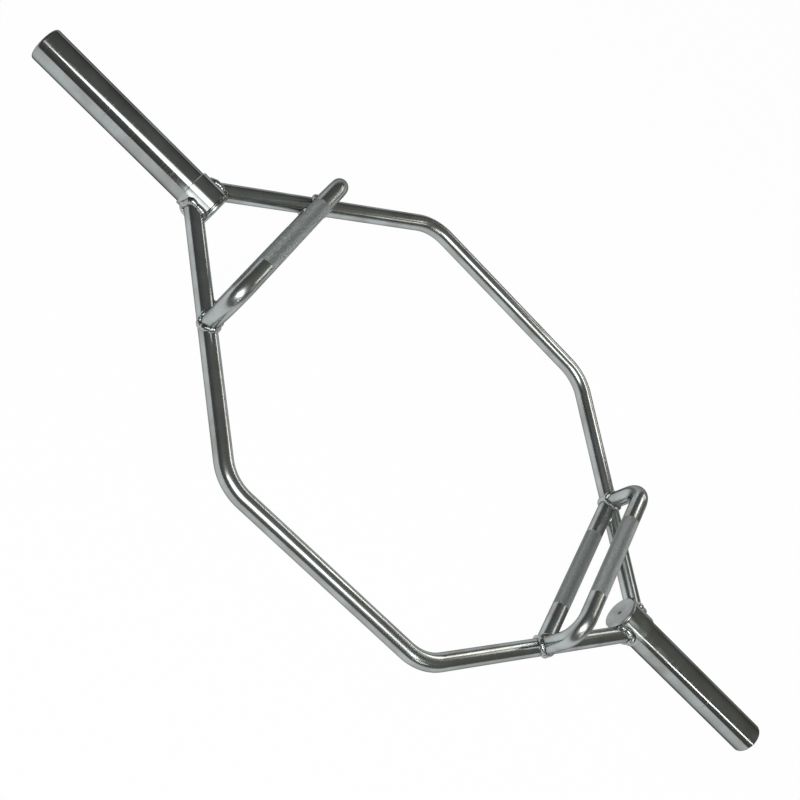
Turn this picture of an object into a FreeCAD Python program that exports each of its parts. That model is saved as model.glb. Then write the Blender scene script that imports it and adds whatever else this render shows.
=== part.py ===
import FreeCAD, Part
import enum
import math
import os
import Sketcher

# A hex trap bar, welded from round bar and plated.
# +X runs along the sleeves, +Y to the rear and +Z up, in millimetres.
# Every piece is drawn about the middle of the sleeve axis and lifted by the collar's radius,
# so the finished bar lies with its collars on the plane z = 0.

DRIVING_SIZES = (
    ("sleeve_diameter", 50.0, "outside of the loading sleeve"),
    ("sleeve_wall", 5.0, "wall of the sleeve tube"),
    ("sleeve_load_length", 254.0, "from the collar's outer face to the sleeve's end"),
    ("sleeve_end_rounding", 3.0, "rounded rim at the sleeve's end"),
    ("sleeve_seat_depth", 1.0, "turned off the sleeve where it seats in the collar"),
    ("sleeve_cap_thickness", 6.0, "disc that closes the sleeve's outer end"),
    ("cap_bevel", 1.5, "bevel round the sleeve cap, filled by its weld"),
    ("collar_height", 2.5, "from the sleeve's surface out to the collar's"),
    ("collar_length", 40.0, "collar without the hub plate"),
    ("collar_chamfer", 1.0, "edges of the collar and the hub plate"),
    ("hub_plate_thickness", 5.0, "disc that closes the hub"),
    ("hub_vent_diameter", 5.0, "hole in the middle of the hub plate"),
    ("hub_bevel", 2.0, "bevels of hub plate and collar, filled by their weld"),
    ("hub_margin", 0.5, "from a side bar's foot to the hub's inner face"),
    ("bar_diameter", 25.4, "round bar of the hexagon"),
    ("side_spacing", 592.0, "between the axes of the two straight sides"),
    ("side_run", 342.0, "straight side between the corners of its bends"),
    ("side_bend_radius", 70.0, "bends of the side bars, on their axis"),
    ("slant_angle", 46.0, "turn of the bar at each bend, in degrees"),
    ("handle_diameter", 25.0, "round bar of the handles"),
    ("handle_spacing", 635.0, "between the left and the right handles"),
    ("high_handle_rise", 77.0, "axis of the raised grip above the hexagon's plane"),
    ("high_bend_radius", 34.0, "bends of the raised handles, on their axis"),
    ("knurl_margin", 37.0, "from a raised handle's bends to the knurl on the grips"),
    ("knurl_rise", 0.25, "crests of the knurl above the bar"),
    ("collar_weld_leg", 4.5, "weld between a side bar and a collar"),
    ("handle_weld_leg", 3.5, "weld between a handle and a side bar"),
)

doc = FreeCAD.newDocument("hex_trap_bar")
sheet = doc.addObject("Spreadsheet::Sheet", "Sizes")
for row, (alias, size, meaning) in enumerate(DRIVING_SIZES, start=1):
    sheet.set(f"A{row}", alias)
    sheet.set(f"B{row}", str(size))
    sheet.setAlias(f"B{row}", alias)
    sheet.set(f"C{row}", meaning)
doc.recompute()

# Radii and places that follow from the driving sizes, as expressions
SLEEVE_RADIUS = "(Sizes.sleeve_diameter / 2)"
BORE_RADIUS = f"({SLEEVE_RADIUS} - Sizes.sleeve_wall)"
SEAT_RADIUS = f"({SLEEVE_RADIUS} - Sizes.sleeve_seat_depth)"
COLLAR_RADIUS = f"({SLEEVE_RADIUS} + Sizes.collar_height)"
VENT_RADIUS = "(Sizes.hub_vent_diameter / 2)"
BAR_RADIUS = "(Sizes.bar_diameter / 2)"
HANDLE_RADIUS = "(Sizes.handle_diameter / 2)"
KNURL_RADIUS = f"({HANDLE_RADIUS} + Sizes.knurl_rise)"

SIDE_Y = "(Sizes.side_spacing / 2)"
SLANT_LENGTH = f"({SIDE_Y} / sin(Sizes.slant_angle))"
APEX_X = f"(Sizes.side_run / 2 + {SIDE_Y} / tan(Sizes.slant_angle))"
FOOT_X = f"({APEX_X} - {COLLAR_RADIUS} / tan(Sizes.slant_angle))"
HUB_INNER_X = f"({FOOT_X} - {BAR_RADIUS} / sin(Sizes.slant_angle) - Sizes.hub_margin)"
COLLAR_INNER_X = f"({HUB_INNER_X} + Sizes.hub_plate_thickness)"
COLLAR_OUTER_X = f"({COLLAR_INNER_X} + Sizes.collar_length)"
SLEEVE_END_X = f"({COLLAR_OUTER_X} + Sizes.sleeve_load_length)"
HANDLE_X = "(Sizes.handle_spacing / 2)"
HANDLE_END_Y = f"(({APEX_X} - {HANDLE_X}) * tan(Sizes.slant_angle))"
GRIP_Z = "Sizes.high_handle_rise"
KNURL_LENGTH = f"(2 * ({HANDLE_END_Y} - Sizes.high_bend_radius - Sizes.knurl_margin))"

# The rim's rounding takes at most this share of the sleeve's wall
ROUNDING_SHARE = 0.75

# Sketcher's numbers for a sketch's own axes, which both start at its root point
ACROSS_AXIS_NUMBER = -1
UP_AXIS_NUMBER = -2

ON_AXIS = "0"
QUARTER_TURN = "90"
HALF_TURN = 180
FULL_TURN = 360
Z_AXIS = FreeCAD.Vector(0, 0, 1)

pieces = []


class Curve(enum.IntEnum):
    """The points of a curve, as Sketcher numbers them from one."""
    START = enum.auto()
    END = enum.auto()
    CENTRE = enum.auto()


def value_of(expression):
    return float(sheet.evalExpression(expression))


def finish(piece, node, turn):
    """Name a finished piece, turn it to its end of the bar and lift it with the sleeve axis."""
    piece.Label = node
    piece.Placement = FreeCAD.Placement(FreeCAD.Vector(), FreeCAD.Rotation(Z_AXIS, turn))
    piece.setExpression("Placement.Base.z", COLLAR_RADIUS)
    pieces.append(piece)


# Sketches

def origin_plane(body, role):
    return next(feature for feature in body.Origin.OriginFeatures if feature.Role == role)


def new_sketch(body, name, role):
    sketch = body.newObject("Sketcher::SketchObject", name)
    sketch.AttachmentSupport = [(origin_plane(body, role), "")]
    sketch.MapMode = "FlatFace"
    return sketch


def bind(sketch, constraint, expression):
    index = sketch.addConstraint(constraint)
    sketch.setExpression(f"Constraints[{index}]", expression)


def place_along(sketch, curve, point, kind, expression):
    """Tie a point of a curve to its distance from the sketch's root, along one axis."""
    root = (ACROSS_AXIS_NUMBER, Curve.START)
    bind(sketch, Sketcher.Constraint(kind, *root, curve, point, value_of(expression)), expression)


def place_point(sketch, curve, point, across, up):
    """Tie a point of a curve to its place on the sketch."""
    for kind, expression, axis in (("DistanceX", across, UP_AXIS_NUMBER),
                                   ("DistanceY", up, ACROSS_AXIS_NUMBER)):
        if expression == ON_AXIS:
            sketch.addConstraint(Sketcher.Constraint("PointOnObject", curve, point, axis))
        else:
            place_along(sketch, curve, point, kind, expression)


def point_at(across, up):
    return FreeCAD.Vector(value_of(across), value_of(up), 0)


def draw_outline(sketch, corners):
    """A closed outline of straight sides, whose corners are pairs of expressions."""
    points = [point_at(across, up) for across, up in corners]
    for start, end in zip(points, points[1:] + points[:1]):
        sketch.addGeometry(Part.LineSegment(start, end), False)
    for side, (across, up) in enumerate(corners):
        side_before = (side - 1) % len(corners)
        sketch.addConstraint(Sketcher.Constraint("Coincident", side_before, Curve.END, side, Curve.START))
        place_point(sketch, side, Curve.START, across, up)


def draw_circle(sketch, radius, across, up):
    circle = Part.Circle(point_at(across, up), Z_AXIS, value_of(radius))
    curve = sketch.addGeometry(circle, False)
    bind(sketch, Sketcher.Constraint("Radius", curve, value_of(radius)), radius)
    place_point(sketch, curve, Curve.CENTRE, across, up)


def draw_bend(sketch, start, corner, end, radius, turn):
    """A path that runs across from its start, bends down at a corner and runs on to its end.

    A sketch's arcs run anticlockwise, so the path goes into the arc at the arc's end.
    """
    bend_start = f"({corner[0]} - {radius} * tan({turn} / 2))"
    top = math.pi / 2
    centre = point_at(bend_start, f"{corner[1]} - {radius}")
    circle = Part.Circle(centre, Z_AXIS, value_of(radius))
    bend = Part.ArcOfCircle(circle, top - math.radians(value_of(turn)), top)
    first = sketch.addGeometry(Part.LineSegment(point_at(*start), bend.EndPoint), False)
    arc = sketch.addGeometry(bend, False)
    last = sketch.addGeometry(Part.LineSegment(bend.StartPoint, point_at(*end)), False)
    sketch.addConstraint(Sketcher.Constraint("Horizontal", first))
    sketch.addConstraint(Sketcher.Constraint("Tangent", first, Curve.END, arc, Curve.END))
    sketch.addConstraint(Sketcher.Constraint("Tangent", arc, Curve.START, last, Curve.START))
    bind(sketch, Sketcher.Constraint("Radius", arc, value_of(radius)), radius)
    place_along(sketch, arc, Curve.END, "DistanceX", bend_start)
    place_point(sketch, first, Curve.START, *start)
    place_point(sketch, last, Curve.END, *end)


# Features

def new_body(name):
    return doc.addObject("PartDesign::Body", name)


def revolve(body, corners):
    """Turn an outline, given along and out from the sleeve axis, about that axis."""
    sketch = new_sketch(body, f"{body.Name}_outline", "XY_Plane")
    draw_outline(sketch, corners)
    turned = body.newObject("PartDesign::Revolution", f"{body.Name}_turned")
    turned.Profile = sketch
    turned.ReferenceAxis = (sketch, ["H_Axis"])
    turned.Angle = FULL_TURN
    return turned


def pad_both_ways(body, name, radius, across, up, length):
    """A round bar along Y, of the given length in all, centred on the XZ plane."""
    sketch = new_sketch(body, f"{name}_circle", "XZ_Plane")
    draw_circle(sketch, radius, across, up)
    pad = body.newObject("PartDesign::Pad", name)
    pad.Profile = sketch
    pad.SideType = "Symmetric"
    pad.setExpression("Length", length)


def sweep_and_mirror(body, section, path, role):
    """Sweep half of a bent bar along its path and mirror it about the plane where that starts."""
    half = body.newObject("PartDesign::AdditivePipe", f"{body.Name}_half")
    half.Profile = section
    half.Spine = path
    whole = body.newObject("PartDesign::Mirrored", f"{body.Name}_whole")
    whole.Originals = [half]
    whole.MirrorPlane = (origin_plane(body, role), [""])
    whole.Refine = True
    body.Tip = whole


def rod(name, radius, length, start, yaw, pitch):
    """A round tool from a start point, pitched from +Z towards +X and then swung about +Z."""
    cylinder = doc.addObject("Part::Cylinder", name)
    cylinder.setExpression("Radius", radius)
    cylinder.setExpression("Height", length)
    place = f"vector({start[0]}; {start[1]}; {start[2]})"
    cylinder.setExpression("Placement", f"placement({place}; rotation({yaw}; {pitch}; 0))")
    return cylinder


def cut(name, base, cutters):
    """Take each cutter in turn away from the base."""
    for number, cutter in enumerate(cutters, start=1):
        result = doc.addObject("Part::Cut", f"{name}_cut_{number}")
        result.Base = base
        result.Tool = cutter
        base = result
    return base


def weld(name, envelopes, cutters):
    """A bead: the space that two envelopes share, less the bars that it joins."""
    bead = doc.addObject("Part::Common", f"{name}_bead")
    bead.Base, bead.Tool = envelopes
    return cut(name, bead, cutters)


# Round bars as cutters, and the wider envelopes that hold their welds
# They are drawn at the right-hand end and serve both ends, because the left-hand one is turned.

FOOT_WELD_RADIUS = f"({BAR_RADIUS} + Sizes.collar_weld_leg)"
HUB_WELD_RADIUS = f"({COLLAR_RADIUS} + Sizes.collar_weld_leg)"
BAR_WELD_RADIUS = f"({BAR_RADIUS} + Sizes.handle_weld_leg)"
HANDLE_WELD_RADIUS = f"({HANDLE_RADIUS} + Sizes.handle_weld_leg)"
HUB_REACH = f"({COLLAR_OUTER_X} + Sizes.bar_diameter)"


def hub_rod(name, radius, start_x, length):
    return rod(name, radius, length, (start_x, "0", "0"), "0", QUARTER_TURN)


def slanted_rod(name, radius, yaw):
    return rod(name, radius, SLANT_LENGTH, (APEX_X, "0", "0"), yaw, QUARTER_TURN)


def low_rod(name, radius):
    start = (HANDLE_X, f"-{HANDLE_END_Y}", "0")
    return rod(name, radius, f"2 * {HANDLE_END_Y}", start, QUARTER_TURN, QUARTER_TURN)


def leg_rod(name, radius, leg_y):
    return rod(name, radius, GRIP_Z, (HANDLE_X, leg_y, "0"), "0", "0")


hub_cutter = hub_rod("hub_cutter", COLLAR_RADIUS, f"-{HUB_REACH}", f"2 * {HUB_REACH}")
hub_envelope = hub_rod("hub_envelope", HUB_WELD_RADIUS, HUB_INNER_X, f"{COLLAR_OUTER_X} - {HUB_INNER_X}")
low_cutter = low_rod("low_cutter", HANDLE_RADIUS)
low_envelope = low_rod("low_envelope", HANDLE_WELD_RADIUS)
bar_cutters = {}
foot_envelopes = {}
bar_envelopes = {}
leg_cutters = {}
leg_envelopes = {}
for side, yaw, leg_y in (("rear", f"{HALF_TURN} - Sizes.slant_angle", HANDLE_END_Y),
                         ("front", f"{HALF_TURN} + Sizes.slant_angle", f"-{HANDLE_END_Y}")):
    bar_cutters[side] = slanted_rod(f"{side}_bar_cutter", BAR_RADIUS, yaw)
    foot_envelopes[side] = slanted_rod(f"{side}_foot_envelope", FOOT_WELD_RADIUS, yaw)
    bar_envelopes[side] = slanted_rod(f"{side}_bar_envelope", BAR_WELD_RADIUS, yaw)
    leg_cutters[side] = leg_rod(f"{side}_leg_cutter", HANDLE_RADIUS, leg_y)
    leg_envelopes[side] = leg_rod(f"{side}_leg_envelope", HANDLE_WELD_RADIUS, leg_y)


# The hexagon: two bent bars whose ends are coped to the collars

def make_side_bar(node, turn):
    body = new_body(f"{node}_blank")
    path = new_sketch(body, f"{node}_path", "XY_Plane")
    draw_bend(path, (ON_AXIS, SIDE_Y), ("Sizes.side_run / 2", SIDE_Y), (APEX_X, ON_AXIS),
              "Sizes.side_bend_radius", "Sizes.slant_angle")
    section = new_sketch(body, f"{node}_section", "YZ_Plane")
    draw_circle(section, BAR_RADIUS, SIDE_Y, ON_AXIS)
    sweep_and_mirror(body, section, path, "YZ_Plane")
    finish(cut(node, body, [hub_cutter]), node, turn)


# The loading ends: sleeve, collar, hub plate, sleeve cap and the welds that close them

def make_sleeve(node, turn):
    body = new_body(node)
    turned = revolve(body, (
        (COLLAR_INNER_X, BORE_RADIUS),
        (COLLAR_INNER_X, SEAT_RADIUS),
        (COLLAR_OUTER_X, SEAT_RADIUS),
        (COLLAR_OUTER_X, SLEEVE_RADIUS),
        (SLEEVE_END_X, SLEEVE_RADIUS),
        (SLEEVE_END_X, BORE_RADIUS),
    ))
    doc.recompute()
    edges = turned.Shape.Edges
    end_edges = [number for number, edge in enumerate(edges, start=1)
                 if math.isclose(edge.CenterOfMass.x, value_of(SLEEVE_END_X))]
    rim = max(end_edges, key=lambda number: edges[number - 1].Length)
    rounding = body.newObject("PartDesign::Fillet", f"{node}_rounding")
    rounding.Base = (turned, [f"Edge{rim}"])
    widest = f"{ROUNDING_SHARE} * Sizes.sleeve_wall"
    rounding.setExpression("Radius", f"min(Sizes.sleeve_end_rounding; {widest})")
    finish(body, node, turn)


def make_collar(node, turn):
    body = new_body(node)
    revolve(body, (
        (COLLAR_INNER_X, SEAT_RADIUS),
        (COLLAR_OUTER_X, SEAT_RADIUS),
        (COLLAR_OUTER_X, f"{COLLAR_RADIUS} - Sizes.collar_chamfer"),
        (f"{COLLAR_OUTER_X} - Sizes.collar_chamfer", COLLAR_RADIUS),
        (f"{COLLAR_INNER_X} + Sizes.hub_bevel", COLLAR_RADIUS),
        (COLLAR_INNER_X, f"{COLLAR_RADIUS} - Sizes.hub_bevel"),
    ))
    finish(body, node, turn)


def make_hub_plate(node, turn):
    body = new_body(node)
    revolve(body, (
        (HUB_INNER_X, VENT_RADIUS),
        (COLLAR_INNER_X, VENT_RADIUS),
        (COLLAR_INNER_X, f"{COLLAR_RADIUS} - Sizes.hub_bevel"),
        (f"{COLLAR_INNER_X} - Sizes.hub_bevel", COLLAR_RADIUS),
        (f"{HUB_INNER_X} + Sizes.collar_chamfer", COLLAR_RADIUS),
        (HUB_INNER_X, f"{COLLAR_RADIUS} - Sizes.collar_chamfer"),
    ))
    finish(body, node, turn)


def make_hub_weld(node, turn):
    body = new_body(node)
    revolve(body, (
        (COLLAR_INNER_X, f"{COLLAR_RADIUS} - Sizes.hub_bevel"),
        (f"{COLLAR_INNER_X} + Sizes.hub_bevel", COLLAR_RADIUS),
        (f"{COLLAR_INNER_X} - Sizes.hub_bevel", COLLAR_RADIUS),
    ))
    finish(body, node, turn)


def make_sleeve_cap(node, turn):
    body = new_body(node)
    inner_face = f"{SLEEVE_END_X} - Sizes.sleeve_cap_thickness"
    revolve(body, (
        (inner_face, ON_AXIS),
        (inner_face, BORE_RADIUS),
        (f"{SLEEVE_END_X} - Sizes.cap_bevel", BORE_RADIUS),
        (SLEEVE_END_X, f"{BORE_RADIUS} - Sizes.cap_bevel"),
        (SLEEVE_END_X, ON_AXIS),
    ))
    finish(body, node, turn)


def make_cap_weld(node, turn):
    body = new_body(node)
    revolve(body, (
        (f"{SLEEVE_END_X} - Sizes.cap_bevel", BORE_RADIUS),
        (SLEEVE_END_X, BORE_RADIUS),
        (SLEEVE_END_X, f"{BORE_RADIUS} - Sizes.cap_bevel"),
    ))
    finish(body, node, turn)


# The handles: a straight bar in the hexagon's plane, and a bar bent into a U above it

def make_low_handle(node, turn):
    body = new_body(f"{node}_blank")
    pad_both_ways(body, f"{node}_bar", HANDLE_RADIUS, HANDLE_X, ON_AXIS, f"2 * {HANDLE_END_Y}")
    pad_both_ways(body, f"{node}_knurl", KNURL_RADIUS, HANDLE_X, ON_AXIS, KNURL_LENGTH)
    finish(cut(node, body, bar_cutters.values()), node, turn)


def make_high_handle(node, turn):
    body = new_body(f"{node}_blank")
    path = new_sketch(body, f"{node}_path", "YZ_Plane")
    path.setExpression("AttachmentOffset.Base.z", HANDLE_X)
    draw_bend(path, (ON_AXIS, GRIP_Z), (HANDLE_END_Y, GRIP_Z), (HANDLE_END_Y, ON_AXIS),
              "Sizes.high_bend_radius", QUARTER_TURN)
    section = new_sketch(body, f"{node}_section", "XZ_Plane")
    draw_circle(section, HANDLE_RADIUS, HANDLE_X, GRIP_Z)
    sweep_and_mirror(body, section, path, "XZ_Plane")
    pad_both_ways(body, f"{node}_knurl", KNURL_RADIUS, HANDLE_X, GRIP_Z, KNURL_LENGTH)
    finish(cut(node, body, [*bar_cutters.values(), low_cutter]), node, turn)


# The welds at a corner, where a side bar meets a collar and carries the ends of two handles

def make_corner_welds(corner, side, turn):
    node = f"{corner}_collar_weld"
    bead = weld(node, (foot_envelopes[side], hub_envelope), [bar_cutters[side], hub_cutter])
    finish(bead, node, turn)
    node = f"{corner}_high_handle_weld"
    bead = weld(node, (leg_envelopes[side], bar_envelopes[side]),
                [bar_cutters[side], leg_cutters[side], low_cutter])
    finish(bead, node, turn)
    node = f"{corner}_low_handle_weld"
    bead = weld(node, (low_envelope, bar_envelopes[side]),
                [bar_cutters[side], low_cutter, leg_envelopes[side]])
    finish(bead, node, turn)


make_side_bar("rear_side_bar", 0)
make_side_bar("front_side_bar", HALF_TURN)
for end, turn, rear_side, front_side in (("right", 0, "rear", "front"),
                                         ("left", HALF_TURN, "front", "rear")):
    make_sleeve(f"{end}_sleeve", turn)
    make_collar(f"{end}_collar", turn)
    make_hub_plate(f"{end}_hub_plate", turn)
    make_hub_weld(f"{end}_hub_weld", turn)
    make_sleeve_cap(f"{end}_sleeve_cap", turn)
    make_cap_weld(f"{end}_cap_weld", turn)
    make_low_handle(f"{end}_low_handle", turn)
    make_high_handle(f"{end}_high_handle", turn)
    make_corner_welds(f"{end}_rear", rear_side, turn)
    make_corner_welds(f"{end}_front", front_side, turn)
doc.recompute()

# Nothing is written unless every object is sound and every piece is one valid solid
for item in doc.Objects:
    if "Invalid" in item.State or "Error" in item.State:
        raise RuntimeError(f"{item.Label} failed to build")
for piece in pieces:
    if piece.Shape.isNull() or not piece.Shape.isValid() or len(piece.Shape.Solids) != 1:
        raise RuntimeError(f"{piece.Label} is not one valid solid")

os.makedirs("parts", exist_ok=True)
for piece in pieces:
    piece.Shape.exportStep(f"parts/{piece.Label}.step")
    print(f"{piece.Label}: {piece.Shape.Volume:.0f} mm3")
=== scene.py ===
import math

import bmesh
import bpy
from mathutils import Matrix, Vector


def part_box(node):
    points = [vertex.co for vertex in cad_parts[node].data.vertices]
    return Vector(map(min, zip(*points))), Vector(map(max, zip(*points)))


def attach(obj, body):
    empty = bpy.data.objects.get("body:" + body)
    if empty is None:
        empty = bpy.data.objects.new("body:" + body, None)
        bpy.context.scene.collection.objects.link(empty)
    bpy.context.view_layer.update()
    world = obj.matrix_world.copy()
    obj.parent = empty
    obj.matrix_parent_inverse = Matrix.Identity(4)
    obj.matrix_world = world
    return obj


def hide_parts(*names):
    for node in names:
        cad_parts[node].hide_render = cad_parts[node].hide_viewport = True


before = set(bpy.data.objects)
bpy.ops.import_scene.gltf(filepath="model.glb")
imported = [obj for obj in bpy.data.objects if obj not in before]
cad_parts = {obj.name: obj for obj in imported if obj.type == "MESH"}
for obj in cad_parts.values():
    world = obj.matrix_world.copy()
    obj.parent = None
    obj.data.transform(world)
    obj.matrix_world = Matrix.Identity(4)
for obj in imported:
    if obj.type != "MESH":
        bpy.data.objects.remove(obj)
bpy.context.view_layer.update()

# A hex trap bar: bright plated round bar, turned hubs and sleeves, knurled grips and weld beads.
# Metres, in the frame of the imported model: +X along the sleeves, +Y to the rear, +Z up.

scene = bpy.context.scene

BODY = "root"
ENDS = {"left": -1, "right": 1}
SIDES = {"front": -1, "rear": 1}

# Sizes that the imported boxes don't show
SLANT = math.radians(46)
SIDE_RUN = 0.342
SIDE_BEND = 0.070
HANDLE_BEND = 0.034
KNURL_MARGIN = 0.037
KNURL_DEPTH = 0.00055
KNURL_NECK = 0.0001
SLEEVE_SEAT = 0.001
RIM_ROUNDING = 0.003
EDGE_CHAMFER = 0.001
EDGE_ROUNDING = 0.0004
HUB_BEVEL = 0.002
CAP_BEVEL = 0.0015
VENT_RADIUS = 0.0025
VENT_ROUNDING = 0.0015

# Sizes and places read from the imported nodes
collar_low, collar_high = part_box("right_collar")
HUB_Z = (collar_low.z + collar_high.z) / 2
COLLAR_RADIUS = collar_high.z - HUB_Z
COLLAR_INNER_X = collar_low.x
COLLAR_OUTER_X = collar_high.x
HUB_INNER_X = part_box("right_hub_plate")[0].x
sleeve_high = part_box("right_sleeve")[1]
SLEEVE_RADIUS = sleeve_high.z - HUB_Z
SLEEVE_END_X = sleeve_high.x
cap_low, cap_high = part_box("right_sleeve_cap")
BORE_RADIUS = cap_high.z - HUB_Z
CAP_INNER_X = cap_low.x
bar_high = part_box("rear_side_bar")[1]
BAR_RADIUS = bar_high.z - HUB_Z
SIDE_Y = bar_high.y - BAR_RADIUS
APEX_X = SIDE_RUN / 2 + SIDE_Y / math.tan(SLANT)
grip_low, grip_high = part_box("right_low_handle")
HANDLE_X = (grip_low.x + grip_high.x) / 2
KNURL_RADIUS = (grip_high.x - grip_low.x) / 2
HANDLE_END_Y = (APEX_X - HANDLE_X) * math.tan(SLANT)
raised_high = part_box("right_high_handle")[1]
GRIP_Z = raised_high.z - KNURL_RADIUS
HANDLE_RADIUS = raised_high.y - HANDLE_END_Y
KNURL_HALF = HANDLE_END_Y - HANDLE_BEND - KNURL_MARGIN

# How finely round forms are divided
TURNED_STEPS = 160
ROD_STEPS = 72
BEND_STEPS = 28
ROUNDING_STEPS = 6
HOLD_GAP = 0.0003
LONG_RUN = 4 * HOLD_GAP
SHARP_ANGLE = math.radians(32)


# Node trees

class Bench:
    """A node tree under construction, whose nodes are added with their inputs set or linked."""

    def __init__(self, tree):
        self.tree = tree

    @staticmethod
    def pick(sockets, key):
        if isinstance(key, int):
            return sockets[key]
        return next(socket for socket in sockets if socket.name == key and socket.enabled)

    def add(self, kind, inputs, result=None, **settings):
        """Add a node and return one of its outputs, the first in use unless another is named."""
        node = self.tree.nodes.new(kind)
        for name, value in settings.items():
            setattr(node, name, value)
        for key, value in inputs.items():
            socket = self.pick(node.inputs, key)
            if isinstance(value, bpy.types.NodeSocket):
                self.tree.links.new(value, socket)
            else:
                socket.default_value = value
        if result:
            return self.pick(node.outputs, result)
        return next((socket for socket in node.outputs if socket.enabled), None)


class GeometryBench(Bench):
    """A geometry tree with named inputs, which ends by giving the mesh its finish."""

    def __init__(self, name, **inputs):
        super().__init__(bpy.data.node_groups.new(name, "GeometryNodeTree"))
        face = self.tree.interface
        face.new_socket("Geometry", in_out="INPUT", socket_type="NodeSocketGeometry")
        for label, kind in inputs.items():
            face.new_socket(label, in_out="INPUT", socket_type=f"NodeSocket{kind}")
        face.new_socket("Finish", in_out="INPUT", socket_type="NodeSocketMaterial")
        face.new_socket("Geometry", in_out="OUTPUT", socket_type="NodeSocketGeometry")
        self.given = self.tree.nodes.new("NodeGroupInput").outputs

    def math(self, operation, *terms):
        return self.add("ShaderNodeMath", dict(enumerate(terms)), operation=operation)

    def attribute(self, name):
        return self.add("GeometryNodeInputNamedAttribute", {"Name": name}, data_type="FLOAT")

    def ring(self, radius, steps):
        return self.add("GeometryNodeCurvePrimitiveCircle", {"Resolution": steps, "Radius": radius})

    def smooth(self, mesh):
        """Smooth shading, with edges kept sharp where faces meet at a clear angle."""
        angle = self.add("GeometryNodeInputMeshEdgeAngle", {})
        sharp = self.math("GREATER_THAN", angle, SHARP_ANGLE)
        mesh = self.add("GeometryNodeSetShadeSmooth", {"Geometry": mesh}, domain="FACE")
        return self.add("GeometryNodeSetShadeSmooth",
                        {"Geometry": mesh, "Selection": sharp, "Shade Smooth": False}, domain="EDGE")

    def close(self, mesh):
        mesh = self.add("GeometryNodeRealizeInstances", {"Geometry": mesh})
        mesh = self.add("GeometryNodeSetMaterial", {"Geometry": mesh, "Material": self.given["Finish"]})
        self.add("NodeGroupOutput", {"Geometry": mesh})
        return self.tree


def grown(tree, start, **values):
    """The plain mesh that a geometry tree makes of a start mesh."""
    helper = bpy.data.objects.new(tree.name, start)
    scene.collection.objects.link(helper)
    modifier = helper.modifiers.new(tree.name, "NODES")
    modifier.node_group = tree
    for item in tree.interface.items_tree:
        if item.in_out == "INPUT" and item.name in values:
            modifier[item.identifier] = values[item.name]
    evaluated = helper.evaluated_get(bpy.context.evaluated_depsgraph_get())
    mesh = bpy.data.meshes.new_from_object(evaluated)
    bpy.data.objects.remove(helper)
    return mesh


def path_mesh(name, points, closed=False, **attributes):
    """A line through points, with one number for each point and attribute."""
    mesh = bpy.data.meshes.new(name)
    edges = [(number, number + 1) for number in range(len(points) - 1)]
    if closed:
        edges.append((len(points) - 1, 0))
    mesh.from_pydata(points, edges, [])
    for label, numbers in attributes.items():
        mesh.attributes.new(label, "FLOAT", "POINT").data.foreach_set("value", numbers)
    return mesh


def bent_rod_tree():
    """A round rod along a path with bends, coped where its ends meet other round bars."""
    bench = GeometryBench("bent_rod", Cutter_Start="Vector", Cutter_End="Vector", Cutter_Radius="Float",
                          Cut_Both_Sides="Bool")
    given = bench.given
    path = bench.add("GeometryNodeMeshToCurve", {"Mesh": given["Geometry"]})
    path = bench.add("GeometryNodeFilletCurve",
                     {"Curve": path, "Count": BEND_STEPS, "Radius": bench.attribute("bend_radius")},
                     mode="POLY")
    rod = bench.add("GeometryNodeCurveToMesh",
                    {"Curve": path, "Profile Curve": bench.ring(1.0, ROD_STEPS),
                     "Scale": bench.attribute("rod_radius"), "Fill Caps": True})
    cutters = []
    for mirror in ((1, 1, 1), (1, -1, 1)):
        ends = [bench.add("ShaderNodeVectorMath", {0: given[label], 1: mirror}, operation="MULTIPLY")
                for label in ("Cutter_Start", "Cutter_End")]
        line = bench.add("GeometryNodeCurvePrimitiveLine", {"Start": ends[0], "End": ends[1]})
        round_profile = bench.ring(given["Cutter_Radius"], ROD_STEPS)
        cutters.append(bench.add("GeometryNodeCurveToMesh",
                                 {"Curve": line, "Profile Curve": round_profile, "Fill Caps": True}))
    once = bench.add("GeometryNodeMeshBoolean", {"Mesh 1": rod, "Mesh 2": cutters[0]},
                     operation="DIFFERENCE")
    twice = bench.add("GeometryNodeMeshBoolean", {"Mesh 1": once, "Mesh 2": cutters[1]},
                      operation="DIFFERENCE")
    coped = bench.add("GeometryNodeSwitch",
                      {"Switch": given["Cut_Both_Sides"], "False": once, "True": twice})
    return bench.close(bench.smooth(coped))


CREST_AND_GROOVE = 2
KNURL_END_SINK = 2 * KNURL_NECK


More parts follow.
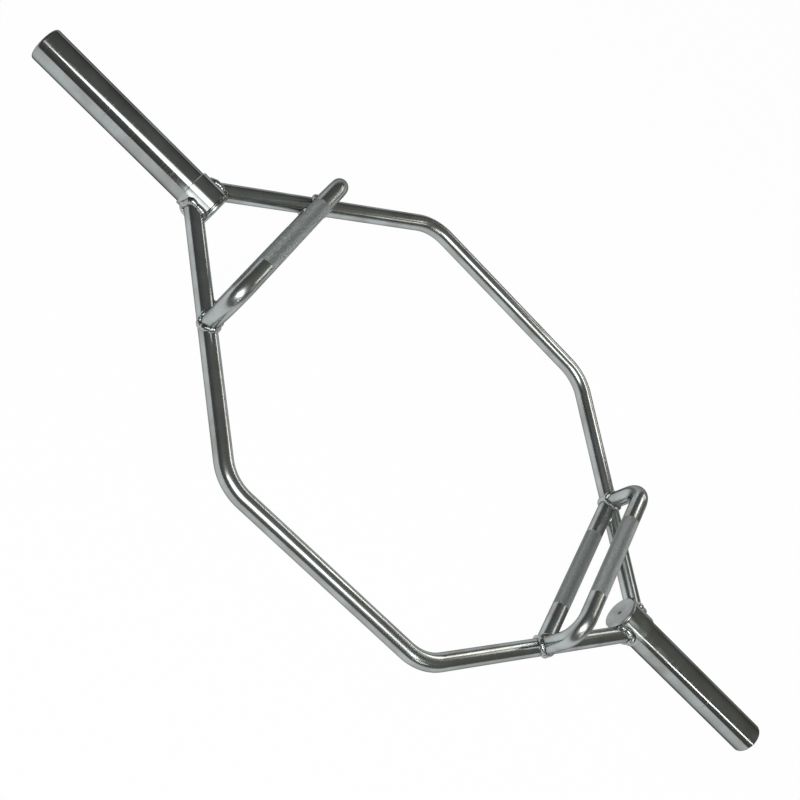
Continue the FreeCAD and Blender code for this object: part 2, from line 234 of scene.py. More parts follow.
def knurl_tree():
    """Rows of small pyramids between two sets of crossing grooves, round an axis along Y."""
    bench = GeometryBench("diamond_knurl", Centre="Vector", Crest_Radius="Float", Depth="Float",
                          Length="Float", Teeth_Round="Int", Teeth_Along="Int")
    given = bench.given
    columns = bench.math("MULTIPLY", given["Teeth_Round"], CREST_AND_GROOVE)
    rows = bench.math("MULTIPLY", given["Teeth_Along"], CREST_AND_GROOVE)
    drum = bench.add("GeometryNodeMeshCylinder",
                     {"Vertices": columns, "Side Segments": rows, "Radius": 1.0, "Depth": given["Length"]})
    place = bench.add("GeometryNodeInputPosition", {})
    x, y, z = bench.add("ShaderNodeSeparateXYZ", {0: place}).node.outputs
    turn = bench.math("DIVIDE", bench.math("ARCTAN2", y, x), math.tau)
    column = bench.math("ROUND", bench.math("MULTIPLY", turn, columns))
    along = bench.math("ADD", bench.math("DIVIDE", z, given["Length"]), 0.5)
    row = bench.math("ROUND", bench.math("MULTIPLY", along, rows))
    crest = bench.math("FLOORED_MODULO", bench.math("ADD", column, row), CREST_AND_GROOVE)
    row_to_end = bench.math("MINIMUM", row, bench.math("SUBTRACT", rows, row))
    inside = bench.math("GREATER_THAN", row_to_end, 0.5)
    valley = bench.math("SUBTRACT", given["Crest_Radius"], given["Depth"])
    rise = bench.math("MULTIPLY", crest, given["Depth"])
    sink = bench.math("MULTIPLY", bench.math("SUBTRACT", 1.0, inside), KNURL_END_SINK)
    radius = bench.math("SUBTRACT", bench.math("ADD", valley, bench.math("MULTIPLY", rise, inside)), sink)
    moved = bench.add("ShaderNodeCombineXYZ", {"X": bench.math("MULTIPLY", x, radius),
                                               "Y": bench.math("MULTIPLY", y, radius), "Z": z})
    teeth = bench.add("GeometryNodeSetPosition", {"Geometry": drum, "Position": moved})
    teeth = bench.add("GeometryNodeTriangulate", {"Mesh": teeth}, quad_method="SHORTEST_DIAGONAL")
    teeth = bench.add("GeometryNodeTransform", {"Geometry": teeth, "Translation": given["Centre"],
                                                "Rotation": (math.pi / 2, 0, 0)})
    return bench.close(teeth)


NOISE_MIDDLE = (0.5, 0.5, 0.5)
NOISE_TO_UNEVEN = 2.0
SMALL_DROP_NOISE = 0.35
LARGE_DROP_NOISE = 0.65


def weld_bead_tree():
    """Overlapping drops of weld metal along a seam, run together into one bead."""
    bench = GeometryBench("weld_bead", Step="Float", Drop_Radius="Float", Uneven="Float", Lumps="Float",
                          Grain="Float", Seed="Int")
    given = bench.given
    seam = bench.add("GeometryNodeMeshToCurve", {"Mesh": given["Geometry"]})
    drops = bench.add("GeometryNodeCurveToPoints", {"Curve": seam, "Length": given["Step"]}, mode="LENGTH")
    place = bench.add("GeometryNodeInputPosition", {})
    swell = bench.add("ShaderNodeTexNoise", {"Vector": place, "W": given["Seed"], "Scale": given["Lumps"]},
                      noise_dimensions="4D").node.outputs
    drift = bench.add("ShaderNodeVectorMath", {0: swell["Color"], 1: NOISE_MIDDLE}, operation="SUBTRACT")
    reach = bench.math("MULTIPLY", given["Uneven"], NOISE_TO_UNEVEN)
    drift = bench.add("ShaderNodeVectorMath", {0: drift, "Scale": reach}, operation="SCALE")
    drops = bench.add("GeometryNodeSetPosition", {"Geometry": drops, "Offset": drift})
    smallest = bench.math("SUBTRACT", given["Drop_Radius"], given["Uneven"])
    size = bench.add("ShaderNodeMapRange",
                     {"Value": swell["Fac"], "From Min": SMALL_DROP_NOISE, "From Max": LARGE_DROP_NOISE,
                      "To Min": smallest, "To Max": given["Drop_Radius"]})
    metal = bench.add("GeometryNodePointsToVolume",
                      {"Points": drops, "Voxel Size": given["Grain"], "Radius": size},
                      resolution_mode="VOXEL_SIZE")
    bead = bench.add("GeometryNodeVolumeToMesh", {"Volume": metal}, resolution_mode="GRID")
    bead = bench.add("GeometryNodeSetShadeSmooth", {"Geometry": bead}, domain="FACE")
    return bench.close(bead)


# Finishes

CLOUD_DETAIL = 5.0
GRAIN_DETAIL = 2.0
STREAK_DETAIL = 4.0
STREAK_ROUGHNESS = 0.7
SCUFF_FULL = 0.8
HAZE_START = 0.35
HAZE_FULL = 0.68
HAZE_DULLING = 0.4
SCUFF_RELIEF = -0.3
BUMP_DISTANCE = 0.0001


def plating_group():
    """Wear of bright plating: cloudy haze, fine grain and scuffs drawn out one way."""
    tree = bpy.data.node_groups.new("plating_wear", "ShaderNodeTree")
    for label, kind in (("Bright", "Color"), ("Dull", "Color"), ("Scuff Stretch", "Vector"),
                        ("Scuff Start", "Float"), ("Cloud Scale", "Float"), ("Grain Scale", "Float"),
                        ("Smooth", "Float"), ("Rough", "Float")):
        tree.interface.new_socket(label, in_out="INPUT", socket_type=f"NodeSocket{kind}")
    for label, kind in (("Color", "Color"), ("Roughness", "Float"), ("Height", "Float")):
        tree.interface.new_socket(label, in_out="OUTPUT", socket_type=f"NodeSocket{kind}")
    bench = Bench(tree)
    given = tree.nodes.new("NodeGroupInput").outputs
    place = bench.add("ShaderNodeTexCoord", {}, result="Object")
    cloud = bench.add("ShaderNodeTexNoise",
                      {"Vector": place, "Scale": given["Cloud Scale"], "Detail": CLOUD_DETAIL})
    grain = bench.add("ShaderNodeTexNoise",
                      {"Vector": place, "Scale": given["Grain Scale"], "Detail": GRAIN_DETAIL})
    drawn = bench.add("ShaderNodeVectorMath", {0: place, 1: given["Scuff Stretch"]}, operation="MULTIPLY")
    streak = bench.add("ShaderNodeTexNoise", {"Vector": drawn, "Scale": 1.0, "Detail": STREAK_DETAIL,
                                              "Roughness": STREAK_ROUGHNESS})
    scuff = bench.add("ShaderNodeMapRange",
                      {"Value": streak, "From Min": given["Scuff Start"], "From Max": SCUFF_FULL})
    haze = bench.add("ShaderNodeMapRange", {"Value": cloud, "From Min": HAZE_START, "From Max": HAZE_FULL})
    worn = bench.add("ShaderNodeMath", {0: haze, 1: scuff}, operation="MAXIMUM")
    color = bench.add("ShaderNodeMix", {"Factor": worn, "A": given["Bright"], "B": given["Dull"]},
                      data_type="RGBA")
    faint_haze = bench.add("ShaderNodeMath", {0: haze, 1: HAZE_DULLING}, operation="MULTIPLY")
    dulled = bench.add("ShaderNodeMath", {0: faint_haze, 1: scuff}, operation="MAXIMUM")
    roughness = bench.add("ShaderNodeMapRange",
                          {"Value": dulled, "To Min": given["Smooth"], "To Max": given["Rough"]})
    height = bench.add("ShaderNodeMath", {0: scuff, 1: SCUFF_RELIEF, 2: grain}, operation="MULTIPLY_ADD")
    bench.add("NodeGroupOutput", {"Color": color, "Roughness": roughness, "Height": height})
    return tree


PLATING = plating_group()
PLATE_COLOUR = (0.925, 1.00, 1.01)
WORN_SHARE = (0.74, 0.71, 0.67)


def plated(name, tone, edge, stretch, scuff_start, cloud_scale, grain_scale, smooth, rough, bump):
    """A plated finish from the shared wear, with its own values; its edge colour paints shade on grazing
    edges.
    """
    bright = [channel * tone for channel in PLATE_COLOUR]
    dull = [channel * share for channel, share in zip(bright, WORN_SHARE)]
    material = bpy.data.materials.new(name)
    material.use_nodes = True
    tree = material.node_tree
    tree.nodes.clear()
    bench = Bench(tree)
    wear = tree.nodes.new("ShaderNodeGroup")
    wear.node_tree = PLATING
    for label, value in (("Bright", (*bright, 1)), ("Dull", (*dull, 1)), ("Scuff Stretch", stretch),
                         ("Scuff Start", scuff_start), ("Cloud Scale", cloud_scale),
                         ("Grain Scale", grain_scale), ("Smooth", smooth), ("Rough", rough)):
        wear.inputs[label].default_value = value
    relief = bench.add("ShaderNodeBump",
                       {"Height": wear.outputs["Height"], "Strength": bump, "Distance": BUMP_DISTANCE})
    # The edge colour darkens the plating towards grazing angles: painted shade along the far edges.
    surface = bench.add("ShaderNodeBsdfPrincipled",
                        {"Base Color": wear.outputs["Color"], "Roughness": wear.outputs["Roughness"],
                         "Metallic": 1.0, "Specular Tint": (edge, edge, edge, 1), "Normal": relief})
    bench.add("ShaderNodeOutputMaterial", {"Surface": surface})
    return material


ROUND_THE_SLEEVE = (420.0, 9.0, 9.0)
ALONG_THE_SLEEVE = (14.0, 260.0, 260.0)
ALONG_THE_GRIP = (260.0, 14.0, 260.0)
ALL_WAYS = (300.0, 300.0, 300.0)

# Each edge value below 1 paints a darker rim of shade where the plating turns away.
FINISHES = {
    "chrome_frame": plated("plated_bar", tone=0.47, edge=0.35, stretch=ALONG_THE_SLEEVE, scuff_start=0.58,
                           cloud_scale=26.0, grain_scale=900.0, smooth=0.20, rough=0.30, bump=0.01),
    "chrome_sleeve": plated("plated_sleeve", tone=0.42, edge=0.10, stretch=ROUND_THE_SLEEVE, scuff_start=0.52,
                            cloud_scale=24.0, grain_scale=1100.0, smooth=0.06, rough=0.34, bump=0.01),
    "chrome_hub": plated("plated_hub", tone=0.45, edge=0.30, stretch=ALONG_THE_SLEEVE, scuff_start=0.60,
                         cloud_scale=40.0, grain_scale=600.0, smooth=0.25, rough=0.36, bump=0.80),
    "turned_collar": plated("turned_collar", tone=0.45, edge=0.30, stretch=ALONG_THE_SLEEVE, scuff_start=0.60,
                            cloud_scale=40.0, grain_scale=600.0, smooth=0.12, rough=0.26, bump=0.12),
    "chrome_handle": plated("plated_handle", tone=0.50, edge=0.20, stretch=ALONG_THE_GRIP, scuff_start=0.60,
                            cloud_scale=30.0, grain_scale=900.0, smooth=0.26, rough=0.36, bump=0.02),
    "chrome_weld": plated("plated_weld", tone=0.45, edge=0.50, stretch=ALL_WAYS, scuff_start=0.60,
                          cloud_scale=90.0, grain_scale=1400.0, smooth=0.10, rough=0.24, bump=0.03),
    "knurled_plate": plated("knurled_plate", tone=0.52, edge=0.50, stretch=ALONG_THE_GRIP, scuff_start=0.70,
                            cloud_scale=500.0, grain_scale=1600.0, smooth=0.60, rough=0.72, bump=0.05),
}


# Pieces

def add_piece(name, mesh, slot, *nodes):
    """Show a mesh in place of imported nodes, with the finish of their slot."""
    piece = bpy.data.objects.new(name, mesh)
    scene.collection.objects.link(piece)
    if not mesh.materials:
        mesh.materials.append(FINISHES[slot])
    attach(piece, BODY)
    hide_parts(*nodes)


def rounded(corners):
    """The points of a closed outline of (x, radius, rounding) corners, with arcs for the rounded ones."""
    points = []
    for number, (x, radius, rounding) in enumerate(corners):
        corner = Vector((x, radius))
        if not rounding:
            points.append(corner)
            continue
        before = Vector(corners[number - 1][:2])
        after = Vector(corners[(number + 1) % len(corners)][:2])
        into = (before - corner).normalized()
        out = (after - corner).normalized()
        half = into.angle(out) / 2
        reach = rounding / math.tan(half)
        centre = corner + (into + out).normalized() * rounding / math.sin(half)
        start = corner + into * reach - centre
        end = corner + out * reach - centre
        sweep = start.angle_signed(end)
        for step in range(ROUNDING_STEPS + 1):
            spoke = start.copy()
            spoke.rotate(Matrix.Rotation(-sweep * step / ROUNDING_STEPS, 2))
            points.append(centre + spoke)
    return points


def held(points):
    """The same closed outline with points near both ends of long runs, so that they shade straight."""
    outline = []
    for number, point in enumerate(points):
        run = point - points[number - 1]
        if run.length > LONG_RUN:
            outline.append(points[number - 1] + run.normalized() * HOLD_GAP)
            outline.append(point - run.normalized() * HOLD_GAP)
        outline.append(point)
    return outline


def turned(name, sign, corners):
    """A mesh turned about the sleeve axis at one end of the bar from the corners of its outline."""
    shape = bmesh.new()
    rings = []
    for x, radius in held(rounded(corners)):
        if radius == 0:
            rings.append([shape.verts.new((sign * x, 0, HUB_Z))] * TURNED_STEPS)
            continue
        ring = []
        for step in range(TURNED_STEPS):
            turn = math.tau * step / TURNED_STEPS
            y = radius * math.cos(turn)
            z = HUB_Z + radius * math.sin(turn)
            ring.append(shape.verts.new((sign * x, y, z)))
        rings.append(ring)
    for number, ring in enumerate(rings):
        before = rings[number - 1]
        for step in range(TURNED_STEPS):
            corners_of_face = (before[step - 1], before[step], ring[step], ring[step - 1])
            once = list(dict.fromkeys(corners_of_face))
            if len(once) > 2:
                shape.faces.new(once)
    bmesh.ops.recalc_face_normals(shape, faces=shape.faces)
    mesh = bpy.data.meshes.new(name)
    shape.to_mesh(mesh)
    shape.free()
    mesh.shade_smooth()
    mesh.set_sharp_from_angle(angle=SHARP_ANGLE)
    return mesh


def joined(name, **meshes):
    """One mesh of several, each with the finish that it is named for."""
    shape = bmesh.new()
    whole = bpy.data.meshes.new(name)
    for number, (finish, mesh) in enumerate(meshes.items()):
        first = len(shape.faces)
        shape.from_mesh(mesh)
        shape.faces.ensure_lookup_table()
        for face in shape.faces[first:]:
            face.material_index = number
        whole.materials.append(FINISHES[finish])
    shape.to_mesh(whole)
    shape.free()
    return whole


BENT_ROD = bent_rod_tree()
KNURL = knurl_tree()
WELD_BEAD = weld_bead_tree()


def coped_rod(name, points, radii, bends, slot, cutter, cutter_radius, both_sides):
    """A bent rod whose ends are coped on a round bar, or on that bar and its mirror image."""
    start = path_mesh(name, points, rod_radius=radii, bend_radius=bends)
    return grown(BENT_ROD, start, Cutter_Start=cutter[0], Cutter_End=cutter[1], Cutter_Radius=cutter_radius,
                 Cut_Both_Sides=both_sides, Finish=FINISHES[slot])


# The hexagon's two side bars

HUB_LINE = ((-SLEEVE_END_X, 0, HUB_Z), (SLEEVE_END_X, 0, HUB_Z))

for side, sign in SIDES.items():
    node = f"{side}_side_bar"
    corners = ((-APEX_X, 0, HUB_Z), (-SIDE_RUN / 2, sign * SIDE_Y, HUB_Z),
               (SIDE_RUN / 2, sign * SIDE_Y, HUB_Z), (APEX_X, 0, HUB_Z))
    bar = coped_rod(node, corners, [BAR_RADIUS] * len(corners), (0, SIDE_BEND, SIDE_BEND, 0), "chrome_frame",
                    HUB_LINE, COLLAR_RADIUS, False)
    add_piece(f"{side}_bent_bar", bar, "chrome_frame", node)


# The turned pieces of the loading ends

def sleeve_outline():
    return ((COLLAR_INNER_X, BORE_RADIUS, 0), (COLLAR_INNER_X, SLEEVE_RADIUS - SLEEVE_SEAT, 0),
            (COLLAR_OUTER_X, SLEEVE_RADIUS - SLEEVE_SEAT, 0), (COLLAR_OUTER_X, SLEEVE_RADIUS, 0),
            (SLEEVE_END_X, SLEEVE_RADIUS, RIM_ROUNDING), (SLEEVE_END_X, BORE_RADIUS, 0))


def collar_outline():
    return ((COLLAR_INNER_X, SLEEVE_RADIUS - SLEEVE_SEAT, 0),
            (COLLAR_OUTER_X, SLEEVE_RADIUS - SLEEVE_SEAT, 0),
            (COLLAR_OUTER_X, COLLAR_RADIUS - EDGE_CHAMFER, EDGE_ROUNDING),
            (COLLAR_OUTER_X - EDGE_CHAMFER, COLLAR_RADIUS, EDGE_ROUNDING),
            (COLLAR_INNER_X + HUB_BEVEL, COLLAR_RADIUS, 0),
            (COLLAR_INNER_X, COLLAR_RADIUS - HUB_BEVEL, 0))


def hub_plate_outline():
    return ((HUB_INNER_X, VENT_RADIUS, VENT_ROUNDING), (COLLAR_INNER_X, VENT_RADIUS, 0),
            (COLLAR_INNER_X, COLLAR_RADIUS - HUB_BEVEL, 0),
            (COLLAR_INNER_X - HUB_BEVEL, COLLAR_RADIUS, 0),
            (HUB_INNER_X + EDGE_CHAMFER, COLLAR_RADIUS, EDGE_ROUNDING),
            (HUB_INNER_X, COLLAR_RADIUS - EDGE_CHAMFER, EDGE_ROUNDING))


def cap_outline():
    return ((CAP_INNER_X, 0, 0), (CAP_INNER_X, BORE_RADIUS, 0), (SLEEVE_END_X - CAP_BEVEL, BORE_RADIUS, 0),
            (SLEEVE_END_X, BORE_RADIUS - CAP_BEVEL, EDGE_ROUNDING), (SLEEVE_END_X, 0, 0))


for end, sign in ENDS.items():
    for part, outline, slot in (("sleeve", sleeve_outline(), "chrome_sleeve"),
                                ("collar", collar_outline(), "chrome_hub"),
                                ("hub_plate", hub_plate_outline(), "chrome_hub"),
                                ("sleeve_cap", cap_outline(), "chrome_sleeve")):
        node = f"{end}_{part}"
        mesh = turned(node, sign, outline)
        if part == "collar":
            mesh.materials.append(FINISHES["turned_collar"])
        add_piece(f"{end}_turned_{part}", mesh, slot, node)


# The handles

TOOTH_LENGTH = 0.0020
TEETH_ROUND = 52
TEETH_ALONG = round(2 * KNURL_HALF / TOOTH_LENGTH)
NECK_RADIUS = KNURL_RADIUS - KNURL_DEPTH - KNURL_NECK
NECK_STEP = 0.0003


def knurl_at(x, z):
    start = bpy.data.meshes.new("knurl")
    return grown(KNURL, start, Centre=(x, 0, z), Crest_Radius=KNURL_RADIUS, Depth=KNURL_DEPTH,
                 Length=2 * KNURL_HALF, Teeth_Round=TEETH_ROUND, Teeth_Along=TEETH_ALONG,
                 Finish=FINISHES["knurled_plate"])


def slanted_line(sign):
    """The axis of the rear side bar's slanted run at one end."""
    return (sign * APEX_X, 0, HUB_Z), (sign * SIDE_RUN / 2, SIDE_Y, HUB_Z)


def grip_line(x, z):
    """The straight grip from front to rear, necked where the knurl is."""
    edge = KNURL_HALF + NECK_STEP
    places = (-edge, -KNURL_HALF, KNURL_HALF, edge)
    return [(x, y, z) for y in places], [HANDLE_RADIUS, NECK_RADIUS, NECK_RADIUS, HANDLE_RADIUS]


for end, sign in ENDS.items():
    x = sign * HANDLE_X
    grip, radii = grip_line(x, HUB_Z)
    points = [(x, -HANDLE_END_Y, HUB_Z), *grip, (x, HANDLE_END_Y, HUB_Z)]
    node = f"{end}_low_handle"
    rod = coped_rod(node, points, [HANDLE_RADIUS, *radii, HANDLE_RADIUS], [0] * len(points), "chrome_handle",
                    slanted_line(sign), BAR_RADIUS, True)
    mesh = joined(node, chrome_handle=rod, knurled_plate=knurl_at(x, HUB_Z))
    add_piece(f"{end}_low_grip", mesh, "chrome_handle", node)

    grip, radii = grip_line(x, GRIP_Z)
    points = [(x, -HANDLE_END_Y, HUB_Z), (x, -HANDLE_END_Y, GRIP_Z), *grip,
              (x, HANDLE_END_Y, GRIP_Z), (x, HANDLE_END_Y, HUB_Z)]
    node = f"{end}_high_handle"
    rod = coped_rod(node, points, [HANDLE_RADIUS] * 2 + radii + [HANDLE_RADIUS] * 2,
                    [0, HANDLE_BEND, 0, 0, 0, 0, HANDLE_BEND, 0], "chrome_handle",
                    slanted_line(sign), BAR_RADIUS, True)
    mesh = joined(node, chrome_handle=rod, knurled_plate=knurl_at(x, GRIP_Z))
    add_piece(f"{end}_raised_grip", mesh, "chrome_handle", node)


# The weld beads

SEAM_STEPS = 120
COLLAR_DROP = 0.0062
HANDLE_DROP = 0.0055
COLLAR_WEAVE = 0.0030
COLLAR_WEAVES = 5
RING_DROP = 0.0020
DROP_MARGIN = 1.2
LOW_SEAM_START = math.radians(150)
LOW_SEAM_END = math.radians(390)
WELD_LUMPS = 130.0
WELD_GRAIN = 0.0005
LUMPY = {"step": 0.45, "uneven": 0.40}
EVEN = {"step": 0.55, "uneven": 0.05}


def bead(name, seam, closed, drop, run, seed):
    """A bead along a seam, whose run says how far apart its drops lie and how uneven they are."""
    start = path_mesh(name, seam, closed)
    return grown(WELD_BEAD, start, Step=drop * run["step"], Drop_Radius=drop, Uneven=drop * run["uneven"],
                 Lumps=WELD_LUMPS, Grain=WELD_GRAIN, Seed=seed, Finish=FINISHES["chrome_weld"])


def turns(first=0.0, last=math.tau):
    return [first + (last - first) * step / SEAM_STEPS for step in range(SEAM_STEPS)]


def collar_seam(end_sign, side_sign):
    """Where a side bar's surface runs into a collar's, with the bead woven to and fro along the bar."""
    seam = []
    for turn in turns():
        lift = BAR_RADIUS * math.sin(turn)
        out = math.sqrt(COLLAR_RADIUS ** 2 - lift ** 2)
        across = BAR_RADIUS * math.cos(turn)
        weave = COLLAR_WEAVE * (1 + math.sin(COLLAR_WEAVES * turn)) / 2
        x = APEX_X - out / math.tan(SLANT) + across / math.sin(SLANT)
        x = max(x - weave * math.cos(SLANT), HUB_INNER_X + COLLAR_DROP * DROP_MARGIN)
        seam.append((end_sign * x, side_sign * (out + weave * math.sin(SLANT)), HUB_Z + lift))
    return seam


def low_seam(end_sign, side_sign):
    """Where a low handle's surface runs into a side bar's, apart from the part under the raised handle."""
    seam = []
    for turn in turns(LOW_SEAM_START, LOW_SEAM_END):
        across = HANDLE_RADIUS * math.cos(turn)
        lift = HANDLE_RADIUS * math.sin(turn)
        short = math.sqrt(BAR_RADIUS ** 2 - lift ** 2) / math.cos(SLANT)
        y = HANDLE_END_Y - across * math.tan(SLANT) - short
        seam.append((end_sign * (HANDLE_X + across), side_sign * y, HUB_Z + lift))
    return seam


def high_seam(end_sign, side_sign):
    """Where a raised handle's leg stands on a side bar and on the end of a low handle."""
    seam = []
    for turn in turns():
        across = HANDLE_RADIUS * math.cos(turn)
        along = HANDLE_RADIUS * math.sin(turn)
        off_axis = across * math.sin(SLANT) + along * math.cos(SLANT)
        lift = math.sqrt(BAR_RADIUS ** 2 - off_axis ** 2)
        if along < 0:
            lift = max(lift, math.sqrt(HANDLE_RADIUS ** 2 - across ** 2))
        seam.append((end_sign * (HANDLE_X + across), side_sign * (HANDLE_END_Y + along), HUB_Z + lift))
    return seam


def ring_seam(x, radius):
    return [(x, radius * math.cos(turn), HUB_Z + radius * math.sin(turn)) for turn in turns()]


seed = 0
for end, end_sign in ENDS.items():
    for side, side_sign in SIDES.items():
        for part, seam, closed, drop in (("collar_weld", collar_seam, True, COLLAR_DROP),
                                         ("low_handle_weld", low_seam, False, HANDLE_DROP),
                                         ("high_handle_weld", high_seam, True, HANDLE_DROP)):
            node = f"{end}_{side}_{part}"
            seed += 1
            mesh = bead(node, seam(end_sign, side_sign), closed, drop, LUMPY, seed)
            add_piece(f"{end}_{side}_{part}_bead", mesh, "chrome_weld", node)
    for part, x, radius in (("hub_weld", COLLAR_INNER_X, COLLAR_RADIUS - RING_DROP * DROP_MARGIN),
                            ("cap_weld", SLEEVE_END_X - RING_DROP * DROP_MARGIN,
                             BORE_RADIUS - CAP_BEVEL / 2)):
        node = f"{end}_{part}"
        seed += 1
        mesh = bead(node, ring_seam(end_sign * x, radius), True, RING_DROP, EVEN, seed)
        add_piece(f"{end}_{part}_bead", mesh, "chrome_weld", node)


# The studio: a pale floor that rises at its far edge, and the lamps and cards that the plating mirrors

FLOOR_RADIUS = 40.0
FLOOR_FLAT = 36.0
FLOOR_RISE = 4.0
FLOOR_STEPS = 96
COVE_STEPS = 12
FLOOR_WHITE_SHARE = 0.98
FLOOR_GREY = (0.88, 0.88, 0.88, 1)
WHITE = (1, 1, 1, 1)


def studio_floor():
    shape = bmesh.new()
    middle = shape.verts.new((0, 0, 0))
    rings = []
    for step in range(COVE_STEPS + 1):
        share = step / COVE_STEPS
        radius = FLOOR_FLAT + (FLOOR_RADIUS - FLOOR_FLAT) * share
        height = FLOOR_RISE * share ** 2
        rings.append([shape.verts.new((radius * math.cos(math.tau * turn / FLOOR_STEPS),
                                       radius * math.sin(math.tau * turn / FLOOR_STEPS), height))
                      for turn in range(FLOOR_STEPS)])
    for turn in range(FLOOR_STEPS):
        shape.faces.new((middle, rings[0][turn - 1], rings[0][turn]))
        for inner, outer in zip(rings, rings[1:]):
            shape.faces.new((inner[turn - 1], outer[turn - 1], outer[turn], inner[turn]))
    mesh = bpy.data.meshes.new("studio_floor")
    shape.to_mesh(mesh)
    shape.free()
    mesh.shade_smooth()
    return mesh


def floor_finish():
    """White to the eye and in the metal, with a share of plain matt floor that keeps the shadow."""
    material = bpy.data.materials.new("pale_floor")
    material.use_nodes = True
    material.node_tree.nodes.clear()
    bench = Bench(material.node_tree)
    path = material.node_tree.nodes.new("ShaderNodeLightPath").outputs
    seen = bench.add("ShaderNodeMath", {0: path["Is Camera Ray"], 1: path["Is Glossy Ray"]},
                     operation="MAXIMUM")
    seen = bench.add("ShaderNodeMath", {0: seen, 1: path["Is Transmission Ray"]}, operation="MAXIMUM")
    share = bench.add("ShaderNodeMath", {0: seen, 1: FLOOR_WHITE_SHARE}, operation="MULTIPLY")
    matt = bench.add("ShaderNodeBsdfDiffuse", {"Color": FLOOR_GREY})
    white = bench.add("ShaderNodeEmission", {"Color": WHITE, "Strength": 1.0})
    mixed = bench.add("ShaderNodeMixShader", {0: share, 1: matt, 2: white})
    bench.add("ShaderNodeOutputMaterial", {"Surface": mixed})
    return material


floor = bpy.data.objects.new("studio_floor", studio_floor())
floor.data.materials.append(floor_finish())
scene.collection.objects.link(floor)


def flat_lamp(name, shape, place, aim, along, width, height, power, colour):
    """A flat lamp that faces a point, with its width along one line."""
    data = bpy.data.lights.new(name, "AREA")
    data.shape = shape
    data.size = width
    data.size_y = height
    data.color = colour
    data.energy = power
    lamp = bpy.data.objects.new(name, data)
    scene.collection.objects.link(lamp)
    back = (Vector(place) - Vector(aim)).normalized()
    side = Vector(along)
    side = (side - back * side.dot(back)).normalized()
    turn = Matrix((side, back.cross(side), back)).transposed().to_4x4()
    lamp.matrix_world = Matrix.Translation(place) @ turn
    lamp.visible_camera = False
    return data


def card(name, place, aim, along, width, height, spread, radiance, colour):
    """An oblong that shines within a spread of angles, as bright head on as its radiance says."""
    half = spread / 2
    narrowing = 1 - half / math.tan(half)
    power = radiance * narrowing * math.pi * width * height
    data = flat_lamp(name, "RECTANGLE", place, aim, along, width, height, power, colour)
    data.spread = spread


def soft_lamp(name, place, aim, along, width, height, core, radiance, colour):
    """A pointed oval that is evenly bright along its core and fades to its long edges."""
    area = math.pi / 4 * width * height
    power = radiance * math.pi * area
    data = flat_lamp(name, "ELLIPSE", place, aim, along, width, height, power, colour)
    data.use_nodes = True
    data.node_tree.nodes.clear()
    bench = Bench(data.node_tree)
    spot = bench.add("ShaderNodeNewGeometry", {}, result="Parametric")
    centred = bench.add("ShaderNodeVectorMath", {0: spot, 1: (2.0, 2.0, 0.0), 2: (-1.0, -1.0, 0.0)},
                        operation="MULTIPLY_ADD")
    length_share, height_share, _ = bench.add("ShaderNodeSeparateXYZ", {0: centred}).node.outputs
    squared = bench.add("ShaderNodeMath", {0: length_share, 1: length_share}, operation="MULTIPLY")
    edge = bench.add("ShaderNodeMath", {0: 1.0, 1: squared}, operation="SUBTRACT")
    to_edge = bench.add("ShaderNodeMath", {0: height_share, 1: edge}, operation="DIVIDE")
    reach = bench.add("ShaderNodeMath", {0: to_edge}, operation="ABSOLUTE")
    level = bench.add("ShaderNodeMapRange", {"Value": reach, "From Min": 1.0, "From Max": core},
                      interpolation_type="SMOOTHSTEP")
    glow = bench.add("ShaderNodeEmission", {"Strength": level})
    bench.add("ShaderNodeOutputLight", {"Surface": glow})


NEUTRAL_LIGHT = (1.0, 1.0, 1.0)
WARM_LIGHT = (1.0, 0.96, 0.90)
ALL_ROUND = math.pi
STRAIGHT_AHEAD = math.radians(60)

soft_lamp("overhead_lamp", place=(-0.13, -1.45, 2.40), aim=(-0.13, -1.45, 0.0), along=(1.0, 0.20, 0.0),
          width=2.60, height=2.40, core=0.25, radiance=5.5, colour=NEUTRAL_LIGHT)
soft_lamp("right_strip", place=(2.80, -2.65, 2.40), aim=(2.80, -2.65, 0.0), along=(0.31, 0.94, 0.0),
          width=1.90, height=0.40, core=0.50, radiance=9.0, colour=NEUTRAL_LIGHT)
soft_lamp("right_panel", place=(1.52, -1.45, 2.40), aim=(1.52, -1.45, 0.0), along=(-0.25, 0.97, 0.0),
          width=2.00, height=0.50, core=0.40, radiance=6.0, colour=NEUTRAL_LIGHT)
card("rear_window", place=(1.10, 3.00, 1.60), aim=(1.10, 0.0, 1.60), along=(1.0, 0.0, 0.0),
     width=1.70, height=0.60, spread=ALL_ROUND, radiance=3.4, colour=WARM_LIGHT)

# Small cards near the right handles and the collars, which stand for bright things close by

RIGHT_GRIPS = (0.3175, 0.0, 0.10)
ACROSS_THE_GRIPS = (0.66, -0.75, 0.0)

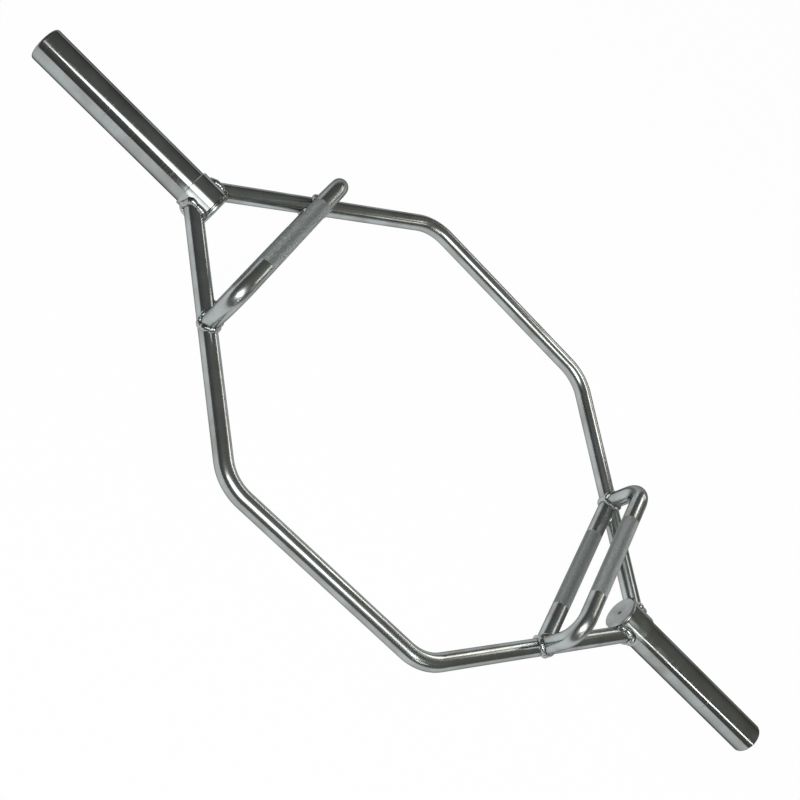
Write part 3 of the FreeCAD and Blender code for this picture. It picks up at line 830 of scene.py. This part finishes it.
soft_lamp("rear_handle_card", place=(0.31, 0.57, 0.62), aim=RIGHT_GRIPS, along=ACROSS_THE_GRIPS,
          width=0.26, height=0.24, core=0.50, radiance=5.0, colour=WARM_LIGHT)
soft_lamp("front_handle_card", place=(0.56, 0.29, 0.62), aim=RIGHT_GRIPS, along=ACROSS_THE_GRIPS,
          width=0.26, height=0.22, core=0.50, radiance=2.5, colour=WARM_LIGHT)
card("left_collar_card", place=(-0.450, -0.3145, 0.182), aim=(-0.432, 0.0075, 0.046),
     along=(1.0, 0.0, 0.0), width=0.060, height=0.220, spread=STRAIGHT_AHEAD, radiance=3.0,
     colour=NEUTRAL_LIGHT)
card("right_collar_card", place=(0.588, -0.292, 0.158), aim=(0.385, -0.043, 0.0275),
     along=(0.83, 0.56, -0.23), width=0.062, height=0.185, spread=STRAIGHT_AHEAD, radiance=1.25,
     colour=WARM_LIGHT)


# The dim air of the room, cooler to the left and brighter overhead

COOL_SIDE = (0.80, 0.80, 0.83, 1)
WARM_SIDE = (1.34, 1.31, 1.14, 1)
AIR_AT_HORIZON = 0.075
AIR_OVERHEAD = 0.17

world = bpy.data.worlds.new("dim_studio")
scene.world = world
world.use_nodes = True
world.node_tree.nodes.clear()
sky = Bench(world.node_tree)
direction = sky.add("ShaderNodeTexCoord", {}, result="Generated")
across, _, upward = sky.add("ShaderNodeSeparateXYZ", {0: direction}).node.outputs
level = sky.add("ShaderNodeMapRange", {"Value": upward, "To Min": AIR_AT_HORIZON, "To Max": AIR_OVERHEAD})
tint = sky.add("ShaderNodeMapRange", {"Value": across, "From Min": -1.0})
colour = sky.add("ShaderNodeMix", {"Factor": tint, "A": COOL_SIDE, "B": WARM_SIDE}, data_type="RGBA")
air = sky.add("ShaderNodeBackground", {"Color": colour, "Strength": level})
sky.add("ShaderNodeOutputWorld", {"Surface": air})


# The camera of the photograph

CAMERA_PLACE = (-0.358697, -0.978093, 1.161002)
CAMERA_RIGHT = Vector((0.696543, 0.441124, 0.565895))
CAMERA_DOWN = Vector((0.688902, -0.631658, -0.355561))
CAMERA_FORWARD = Vector((0.200606, 0.637509, -0.743868))
SENSOR_MM = 36
FOCAL_MM = 48.995

lens = bpy.data.cameras.new("camera")
lens.sensor_width = SENSOR_MM
lens.lens = FOCAL_MM
camera = bpy.data.objects.new("camera", lens)
scene.collection.objects.link(camera)
facing = Matrix((CAMERA_RIGHT, -CAMERA_DOWN, -CAMERA_FORWARD)).transposed().to_4x4()
camera.matrix_world = Matrix.Translation(CAMERA_PLACE) @ facing
scene.camera = camera

scene.view_settings.view_transform = "Standard"
